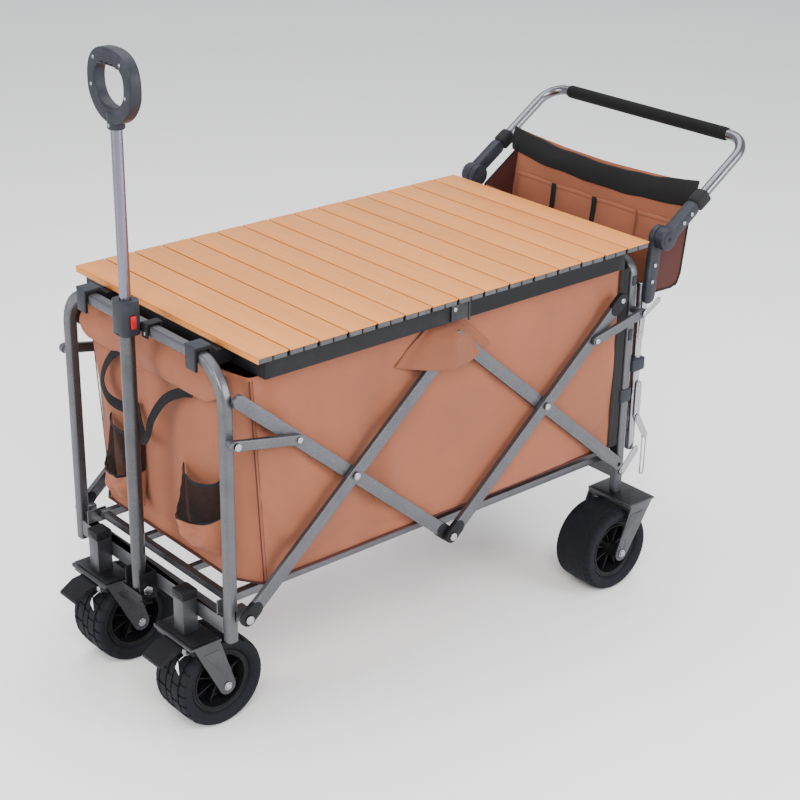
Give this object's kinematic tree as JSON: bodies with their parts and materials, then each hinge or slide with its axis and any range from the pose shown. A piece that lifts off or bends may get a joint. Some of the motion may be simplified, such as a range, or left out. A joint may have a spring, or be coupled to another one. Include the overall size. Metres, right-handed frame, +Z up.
{
  "type": "folding_camp_wagon",
  "caption": "Folding camp wagon: scissor side frame, fabric tub, roll-up slat table top, telescoping pull handle, tilting push handle with bag, swivel front wheels",
  "frame": {"origin": "centre of the bounding box in plan, on the floor the wheels stand on", "axes": "+X forward to the pull handle, +Y the wagon's left side, +Z up"},
  "size_m": [1.301, 0.6016, 1.138],
  "materials": {
    "frame_steel": "speckled silver-grey powder coat on steel tube",
    "bright_steel": "bright plated steel",
    "black_plastic": "moulded black plastic, fine grain",
    "tyre_rubber": "soft moulded tread with shallow blocks",
    "hub_plastic": "dark ribbed wheel centre",
    "red_plastic": "smooth red push button",
    "foam": "closed-cell foam sleeve",
    "canvas": "tan coated polyester weave with darker binding",
    "slat": "warm wood-look slats with fine grain",
    "tube_plated": "drawn tube, satin"
  },
  "bodies": {
    "front_frame": {"front_hoop": "frame_steel", "front_crossbar": "frame_steel", "caster_post_left": "frame_steel", "caster_post_right": "frame_steel", "handle_bracket": "frame_steel", "handle_bolt": "bright_steel", "handle_catch": "black_plastic", "tub": "canvas"},
    "caster_left": {"front_fork_left": "frame_steel", "front_axle_left": "bright_steel"},
    "front_wheel_left": {"tyre_front_left": "tyre_rubber", "hub_front_left": "hub_plastic"},
    "brake_left": {"brake_pedal_left": "black_plastic"},
    "bar_a_left": {"scissor_bar_a_left": "frame_steel"},
    "bar_b_left": {"scissor_bar_b_left": "frame_steel"},
    "bar_c_left": {"scissor_bar_c_left": "frame_steel"},
    "bar_d_left": {"scissor_bar_d_left": "frame_steel"},
    "front_link_left": {"front_link_left": "frame_steel"},
    "rear_link_left": {"rear_link_left": "frame_steel"},
    "rear_wheel_left": {"tyre_rear_left": "tyre_rubber", "hub_rear_left": "hub_plastic"},
    "latch_left": {"latch_left": "bright_steel"},
    "caster_right": {"front_fork_right": "frame_steel", "front_axle_right": "bright_steel"},
    "front_wheel_right": {"tyre_front_right": "tyre_rubber", "hub_front_right": "hub_plastic"},
    "brake_right": {"brake_pedal_right": "black_plastic"},
    "bar_a_right": {"scissor_bar_a_right": "frame_steel"},
    "bar_b_right": {"scissor_bar_b_right": "frame_steel"},
    "bar_c_right": {"scissor_bar_c_right": "frame_steel"},
    "bar_d_right": {"scissor_bar_d_right": "frame_steel"},
    "front_link_right": {"front_link_right": "frame_steel"},
    "rear_link_right": {"rear_link_right": "frame_steel"},
    "rear_wheel_right": {"tyre_rear_right": "tyre_rubber", "hub_rear_right": "hub_plastic"},
    "latch_right": {"latch_right": "bright_steel"},
    "rear_frame": {"rear_hoop": "frame_steel", "rear_fork_left": "frame_steel", "rear_fork_right": "frame_steel", "rear_axle_left": "bright_steel", "rear_axle_right": "bright_steel", "push_post_left": "frame_steel", "push_post_right": "frame_steel", "push_bracket_left": "black_plastic", "push_bracket_right": "black_plastic"},
    "floor_front": {"floor_front": "frame_steel"},
    "floor_rear": {"floor_rear": "frame_steel"},
    "tailgate": {"tailgate_frame": "frame_steel"},
    "push_handle": {"push_handle_bow": "tube_plated", "foam_grip": "foam", "storage_bag": "canvas"},
    "pull_handle": {"pull_tube_lower": "frame_steel", "pull_collar": "black_plastic"},
    "release_button": {"release_button": "red_plastic"},
    "pull_extension": {"pull_tube_upper": "tube_plated", "pull_grip": "black_plastic"},
    "table_frame": {"table_frame_front": "black_plastic", "table_frame_rear": "black_plastic"},
    "table_top": {"table_slats": "slat"}
  },
  "joints": [
    {"name": "fold", "type": "hinge", "parent": "front_frame", "child": "bar_a_left", "pos_m": [0.5419, 0, 0.2475], "axis": [0, 1, 0], "range_deg": [0, 37.5], "deforming": ["tub"]},
    {"name": "fold_a_right", "type": "hinge", "parent": "front_frame", "child": "bar_a_right", "pos_m": [0.5419, 0, 0.2475], "axis": [0, 1, 0], "range_deg": [0, 37.5]},
    {"name": "fold_b_left", "type": "hinge", "parent": "bar_a_left", "child": "bar_b_left", "pos_m": [0.3192, 0, 0.4379], "axis": [0, 1, 0], "range_deg": [-75, 0]},
    {"name": "fold_c_left", "type": "hinge", "parent": "bar_b_left", "child": "bar_c_left", "pos_m": [0.0965, 0, 0.2475], "axis": [0, 1, 0], "range_deg": [0, 75]},
    {"name": "fold_d_left", "type": "hinge", "parent": "bar_c_left", "child": "bar_d_left", "pos_m": [-0.1262, 0, 0.4379], "axis": [0, 1, 0], "range_deg": [-75, 0]},
    {"name": "fold_b_right", "type": "hinge", "parent": "bar_a_right", "child": "bar_b_right", "pos_m": [0.3192, 0, 0.4379], "axis": [0, 1, 0], "range_deg": [-75, 0]},
    {"name": "fold_c_right", "type": "hinge", "parent": "bar_b_right", "child": "bar_c_right", "pos_m": [0.0965, 0, 0.2475], "axis": [0, 1, 0], "range_deg": [0, 75]},
    {"name": "fold_d_right", "type": "hinge", "parent": "bar_c_right", "child": "bar_d_right", "pos_m": [-0.1262, 0, 0.4379], "axis": [0, 1, 0], "range_deg": [-75, 0]},
    {"name": "fold_rear_frame", "type": "hinge", "parent": "bar_d_left", "child": "rear_frame", "pos_m": [-0.3489, 0, 0.2475], "axis": [0, 1, 0], "range_deg": [0, 37.5]},
    {"name": "front_link_left_turn", "type": "hinge", "parent": "front_frame", "child": "front_link_left", "pos_m": [0.5575, 0, 0.562], "axis": [0, 1, 0], "range_deg": [0, 82.5]},
    {"name": "rear_link_left_turn", "type": "hinge", "parent": "rear_frame", "child": "rear_link_left", "pos_m": [-0.3645, 0, 0.562], "axis": [0, -1, 0], "range_deg": [0, 82.5]},
    {"name": "front_link_right_turn", "type": "hinge", "parent": "front_frame", "child": "front_link_right", "pos_m": [0.5575, 0, 0.562], "axis": [0, 1, 0], "range_deg": [0, 82.5]},
    {"name": "rear_link_right_turn", "type": "hinge", "parent": "rear_frame", "child": "rear_link_right", "pos_m": [-0.3645, 0, 0.562], "axis": [0, -1, 0], "range_deg": [0, 82.5]},
    {"name": "floor_front_lift", "type": "hinge", "parent": "front_frame", "child": "floor_front", "pos_m": [0.5335, 0, 0.254], "axis": [0, 1, 0], "range_deg": [0, 75]},
    {"name": "floor_rear_lift", "type": "hinge", "parent": "rear_frame", "child": "floor_rear", "pos_m": [-0.3405, 0, 0.254], "axis": [0, -1, 0], "range_deg": [0, 75]},
    {"name": "table_rise", "type": "slide", "parent": "front_frame", "child": "table_frame", "axis": [0, 0, 1], "range_m": [0, 0.6219]},
    {"name": "table_top_lift", "type": "slide", "parent": "table_frame", "child": "table_top", "axis": [0, 0, 1], "range_m": [0, 0.2]},
    {"name": "caster_left_swivel", "type": "hinge", "parent": "front_frame", "child": "caster_left", "pos_m": [0.5805, 0.132, 0.18], "axis": [0, 0, 1], "continuous": true},
    {"name": "front_wheel_left_spin", "type": "hinge", "parent": "caster_left", "child": "front_wheel_left", "pos_m": [0.5385, 0.132, 0.083], "axis": [0, 1, 0], "continuous": true},
    {"name": "brake_left_press", "type": "hinge", "parent": "caster_left", "child": "brake_left", "pos_m": [0.6015, 0.132, 0.1685], "axis": [0, 1, 0], "range_deg": [0, 12]},
    {"name": "rear_wheel_left_spin", "type": "hinge", "parent": "rear_frame", "child": "rear_wheel_left", "pos_m": [-0.3195, 0.24, 0.083], "axis": [0, 1, 0], "continuous": true},
    {"name": "latch_left_turn", "type": "hinge", "parent": "rear_frame", "child": "latch_left", "pos_m": [-0.3965, 0.228, 0.4], "axis": [0, 1, 0], "range_deg": [0, 110]},
    {"name": "caster_right_swivel", "type": "hinge", "parent": "front_frame", "child": "caster_right", "pos_m": [0.5805, -0.132, 0.18], "axis": [0, 0, 1], "continuous": true},
    {"name": "front_wheel_right_spin", "type": "hinge", "parent": "caster_right", "child": "front_wheel_right", "pos_m": [0.5385, -0.132, 0.083], "axis": [0, 1, 0], "continuous": true},
    {"name": "brake_right_press", "type": "hinge", "parent": "caster_right", "child": "brake_right", "pos_m": [0.6015, -0.132, 0.1685], "axis": [0, 1, 0], "range_deg": [0, 12]},
    {"name": "rear_wheel_right_spin", "type": "hinge", "parent": "rear_frame", "child": "rear_wheel_right", "pos_m": [-0.3195, -0.24, 0.083], "axis": [0, 1, 0], "continuous": true},
    {"name": "latch_right_turn", "type": "hinge", "parent": "rear_frame", "child": "latch_right", "pos_m": [-0.3965, -0.228, 0.4], "axis": [0, 1, 0], "range_deg": [0, 110]},
    {"name": "tailgate_drop", "type": "hinge", "parent": "rear_frame", "child": "tailgate", "pos_m": [-0.3965, 0, 0.25], "axis": [0, -1, 0], "range_deg": [0, 90]},
    {"name": "push_handle_raise", "type": "hinge", "parent": "rear_frame", "child": "push_handle", "pos_m": [-0.414, 0, 0.697], "axis": [0, 1, 0], "range_deg": [0, 56]},
    {"name": "pull_handle_tilt", "type": "hinge", "parent": "front_frame", "child": "pull_handle", "pos_m": [0.5855, 0, 0.212], "axis": [0, 1, 0], "range_deg": [0, 75]},
    {"name": "pull_handle_extend", "type": "slide", "parent": "pull_handle", "child": "pull_extension", "axis": [0, 0, 1], "range_m": [0, 0.3]},
    {"name": "release_button_press", "type": "slide", "parent": "pull_handle", "child": "release_button", "axis": [0, -1, 0], "range_m": [0, 0.003], "stiffness_N_per_m": 200}
  ],
  "couplings": [
    {"joint": "fold_a_right", "follows": "fold", "ratio": 1},
    {"joint": "fold_b_left", "follows": "fold", "ratio": -2},
    {"joint": "fold_c_left", "follows": "fold", "ratio": 2},
    {"joint": "fold_d_left", "follows": "fold", "ratio": -2},
    {"joint": "fold_b_right", "follows": "fold", "ratio": -2},
    {"joint": "fold_c_right", "follows": "fold", "ratio": 2},
    {"joint": "fold_d_right", "follows": "fold", "ratio": -2},
    {"joint": "fold_rear_frame", "follows": "fold", "ratio": 1},
    {"joint": "front_link_left_turn", "follows": "fold", "ratio": 2.2},
    {"joint": "rear_link_left_turn", "follows": "fold", "ratio": 2.2},
    {"joint": "front_link_right_turn", "follows": "fold", "ratio": 2.2},
    {"joint": "rear_link_right_turn", "follows": "fold", "ratio": 2.2},
    {"joint": "floor_front_lift", "follows": "fold", "ratio": 2},
    {"joint": "floor_rear_lift", "follows": "fold", "ratio": 2},
    {"joint": "table_rise", "follows": "fold", "m_per_rad": 0.95}
  ]
}
